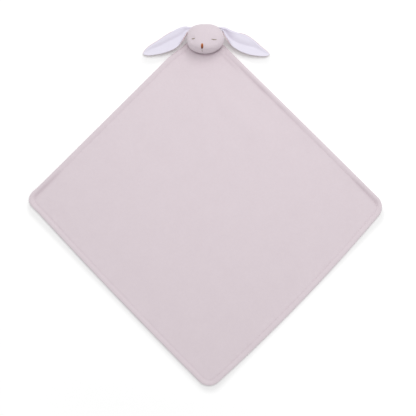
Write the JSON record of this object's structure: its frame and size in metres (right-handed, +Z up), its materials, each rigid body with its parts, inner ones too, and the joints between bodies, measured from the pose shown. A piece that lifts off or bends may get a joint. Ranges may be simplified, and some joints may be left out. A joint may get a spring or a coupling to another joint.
{
  "type": "comfort blanket lovey",
  "caption": "Square double-plush comfort blanket laid out as a diamond, with a stuffed rabbit head and long lined ears sewn on its top corner.",
  "frame": {"origin": "middle of the blanket's underside, on the surface that it lies on", "axes": "+Z up from that surface, +Y towards the corner that carries the head, +X to the right when seen from above with the head at the top"},
  "size_m": [1.0394, 1.0637, 0.0674],
  "materials": {
    "blanket_velour": "dusty pink plush velour, short soft pile with a slight sheen",
    "head_velour": "the blanket's dusty pink plush, drawn smooth over the stuffing",
    "ear_velour": "the blanket's dusty pink plush",
    "ear_lining": "white plush with a cool cast, shorter and smoother than the velour",
    "stuffing": "white polyester fibre filling",
    "nose_thread": "brown embroidery thread in satin stitch",
    "face_thread": "taupe embroidery thread",
    "seam_thread": "gathered plush held by ladder stitches in matching thread"
  },
  "bodies": {
    "blanket": {"blanket_front_panel": "blanket_velour", "blanket_back_panel": "blanket_velour"},
    "neck": {"neck_seam_ring": "seam_thread"},
    "head": {"face_panel": "head_velour", "head_back_panel": "head_velour", "head_stuffing": "stuffing", "nose_embroidery": "nose_thread", "mouth_stitch": "face_thread", "left_eye_embroidery": "face_thread", "right_eye_embroidery": "face_thread"},
    "left_ear": {"left_ear_lining": "ear_lining", "left_ear_back": "ear_velour"},
    "right_ear": {"right_ear_lining": "ear_lining", "right_ear_back": "ear_velour"}
  },
  "joints": [
    {"name": "head_turn", "type": "hinge", "parent": "blanket", "child": "neck", "pos_m": [-0.0012, 0.4759, 0.0038], "axis": [0, 0, 1], "range_deg": [-10, 10], "stiffness_Nm_per_rad": 0.03},
    {"name": "head_nod", "type": "hinge", "parent": "neck", "child": "head", "pos_m": [-0.0012, 0.4574, 0.006], "axis": [1, 0, 0], "range_deg": [0, 25]},
    {"name": "left_ear_lift", "type": "hinge", "parent": "head", "child": "left_ear", "pos_m": [-0.0461, 0.5199, 0.0392], "axis": [-0.4242, 0.9056, 0], "range_deg": [0, 90]},
    {"name": "right_ear_lift", "type": "hinge", "parent": "head", "child": "right_ear", "pos_m": [0.0437, 0.5199, 0.0392], "axis": [-0.4195, -0.9078, 0], "range_deg": [0, 90]}
  ]
}
